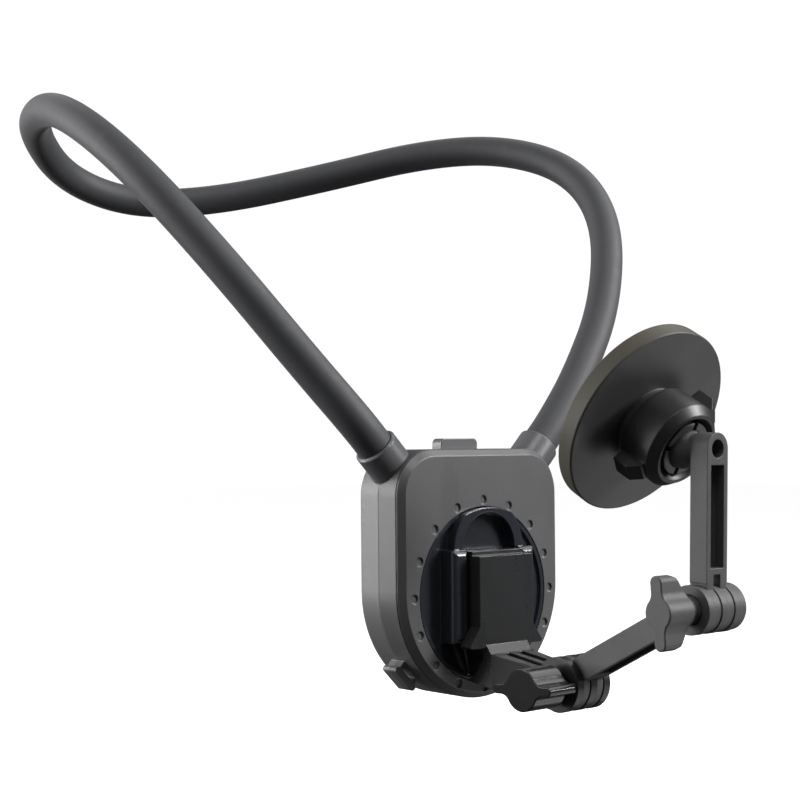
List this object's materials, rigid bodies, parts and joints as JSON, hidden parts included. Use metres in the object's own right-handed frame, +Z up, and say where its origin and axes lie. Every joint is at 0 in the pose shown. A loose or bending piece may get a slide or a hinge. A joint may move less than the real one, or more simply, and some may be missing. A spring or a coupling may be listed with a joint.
{
  "type": "phone chest mount",
  "caption": "Hands-free phone chest mount: bendable neck loop, chest plate with a turning disc, slide-in buckle, clamped hinge arms and a magnetic phone head on a ball.",
  "frame": {"origin": "on the back face of the chest plate, on the axis of the turning disc", "axes": "+Z up, +Y towards the wearer's chest, -Y forwards to the phone, +X to the left of a viewer behind the plate"},
  "size_m": [0.2284, 0.3294, 0.2294],
  "materials": {
    "shell_plastic": "fine satin texture",
    "gloss_black": "polished",
    "arm_plastic": "fine sparked texture",
    "sleeve_rubber": "smooth matte",
    "core_aluminium": "drawn rod",
    "screw_steel": "plain",
    "head_plastic": "matte",
    "magnet": "nickel plated",
    "pad_rubber": "soft matte"
  },
  "bodies": {
    "chest_plate": {"rear_shell": "shell_plastic", "front_shell": "shell_plastic", "front_cover": "shell_plastic", "shell_screws": "screw_steel", "tube_socket_left": "shell_plastic", "tube_socket_right": "shell_plastic", "neck_sleeve": "sleeve_rubber", "gooseneck_core": "core_aluminium", "button_spring": "screw_steel"},
    "release_button": {"release_button": "shell_plastic"},
    "rotary_disc": {"rotary_disc": "gloss_black", "index_ring": "gloss_black", "ring_screws": "screw_steel"},
    "buckle": {"buckle": "gloss_black", "hinge_nut_1": "screw_steel"},
    "knob_1": {"knob_1": "gloss_black", "bolt_1": "screw_steel"},
    "arm_lower": {"arm_lower": "arm_plastic", "hinge_nut_2": "screw_steel"},
    "knob_2": {"knob_2": "arm_plastic", "bolt_2": "screw_steel"},
    "arm_upper": {"arm_upper": "arm_plastic"},
    "collar": {"locking_collar": "head_plastic"},
    "magnet_head": {"head_base": "head_plastic", "steel_plate": "screw_steel", "magnet_ring": "magnet", "face_pad": "pad_rubber"}
  },
  "joints": [
    {"name": "button_press", "type": "slide", "parent": "chest_plate", "child": "release_button", "axis": [0, 0, -1], "range_m": [0, 0.0022], "stiffness_N_per_m": 600, "springref_m": -0.002, "deforming": ["button_spring"]},
    {"name": "disc_turn", "type": "hinge", "parent": "chest_plate", "child": "rotary_disc", "pos_m": [0, -0.0185, 0], "axis": [0, 1, 0], "continuous": true},
    {"name": "buckle_slide", "type": "slide", "parent": "rotary_disc", "child": "buckle", "axis": [0, 0, -1], "range_m": [0, 0.034]},
    {"name": "knob_1_turn", "type": "hinge", "parent": "buckle", "child": "knob_1", "pos_m": [-0.015, -0.0634, -0.027], "axis": [-1, 0, 0], "range_deg": [0, 180]},
    {"name": "hinge_1", "type": "hinge", "parent": "buckle", "child": "arm_lower", "pos_m": [0, -0.0634, -0.027], "axis": [1, 0, 0], "range_deg": [-10, 45]},
    {"name": "knob_2_turn", "type": "hinge", "parent": "arm_lower", "child": "knob_2", "pos_m": [-0.015, -0.1187, 0.0016], "axis": [-1, 0, 0], "range_deg": [0, 180]},
    {"name": "hinge_2", "type": "hinge", "parent": "arm_lower", "child": "arm_upper", "pos_m": [0, -0.1187, 0.0016], "axis": [1, 0, 0], "range_deg": [-20, 60]},
    {"name": "ball_tilt", "type": "hinge", "parent": "arm_upper", "child": "collar", "pos_m": [0, -0.11099, 0.05112], "axis": [1, 0, 0], "range_deg": [-50, 3]},
    {"name": "head_turn", "type": "hinge", "parent": "collar", "child": "magnet_head", "pos_m": [0, -0.11099, 0.05112], "axis": [0, 0.8704, 0.4924], "continuous": true}
  ]
}
